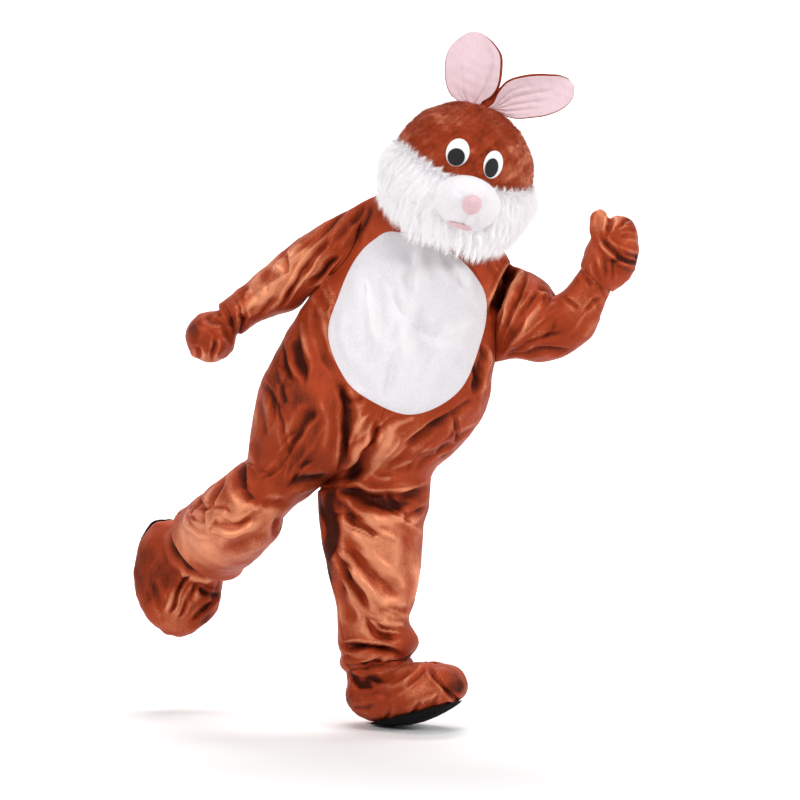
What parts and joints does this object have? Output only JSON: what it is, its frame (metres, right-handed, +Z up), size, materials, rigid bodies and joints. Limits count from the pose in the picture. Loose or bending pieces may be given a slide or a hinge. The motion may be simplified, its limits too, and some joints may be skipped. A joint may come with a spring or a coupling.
{
  "type": "rabbit mascot costume",
  "caption": "Hollow brown velour rabbit mascot costume with white tummy, furry head, mitts and padded boots, filled out in a striding pose.",
  "frame": {"origin": "middle of the jumpsuit's neckline, where the wearer's neck and shoulders carry it", "axes": "+X the wearer's left, -Y the front, +Z up"},
  "size_m": [1.3553, 0.8081, 1.8143],
  "materials": {
    "velour": "sheen pile",
    "brown_plush": "short pile",
    "white_plush": "matte pile",
    "white_fur": "matte pile",
    "pink_plush": "matte pile",
    "pink_velour": "sheen pile",
    "white_felt": "matte",
    "eye_mesh": "matte",
    "sole_felt": "matte",
    "zip_tape": "matte",
    "zip_metal": "satin"
  },
  "bodies": {
    "costume": {"front_left": "velour", "front_right": "velour", "back_left": "velour", "back_right": "velour", "sleeve_left": "velour", "sleeve_right": "velour", "zip_tape": "zip_tape", "zip_slider": "zip_metal", "tummy": "white_plush", "mitt_left": "velour", "mitt_right": "velour", "boot_left": "velour", "boot_right": "velour", "sole_left": "sole_felt", "sole_right": "sole_felt", "crown_left": "brown_plush", "crown_right": "brown_plush", "ruff": "white_fur", "muzzle": "white_plush", "nose": "pink_plush", "mouth": "pink_plush", "eye_white_left": "white_felt", "eye_white_right": "white_felt", "pupil_left": "eye_mesh", "pupil_right": "eye_mesh", "ear_front_left": "pink_velour", "ear_front_right": "pink_velour", "ear_back_left": "brown_plush", "ear_back_right": "brown_plush"},
    "zip_pull": {"zip_pull": "zip_metal"}
  },
  "joints": [
    {"name": "zip_pull_swing", "type": "hinge", "parent": "costume", "child": "zip_pull", "pos_m": [0.00898, 0.10915, 0.04164], "axis": [0.9047, -0.0262, -0.4252], "range_deg": [0, 150]}
  ]
}
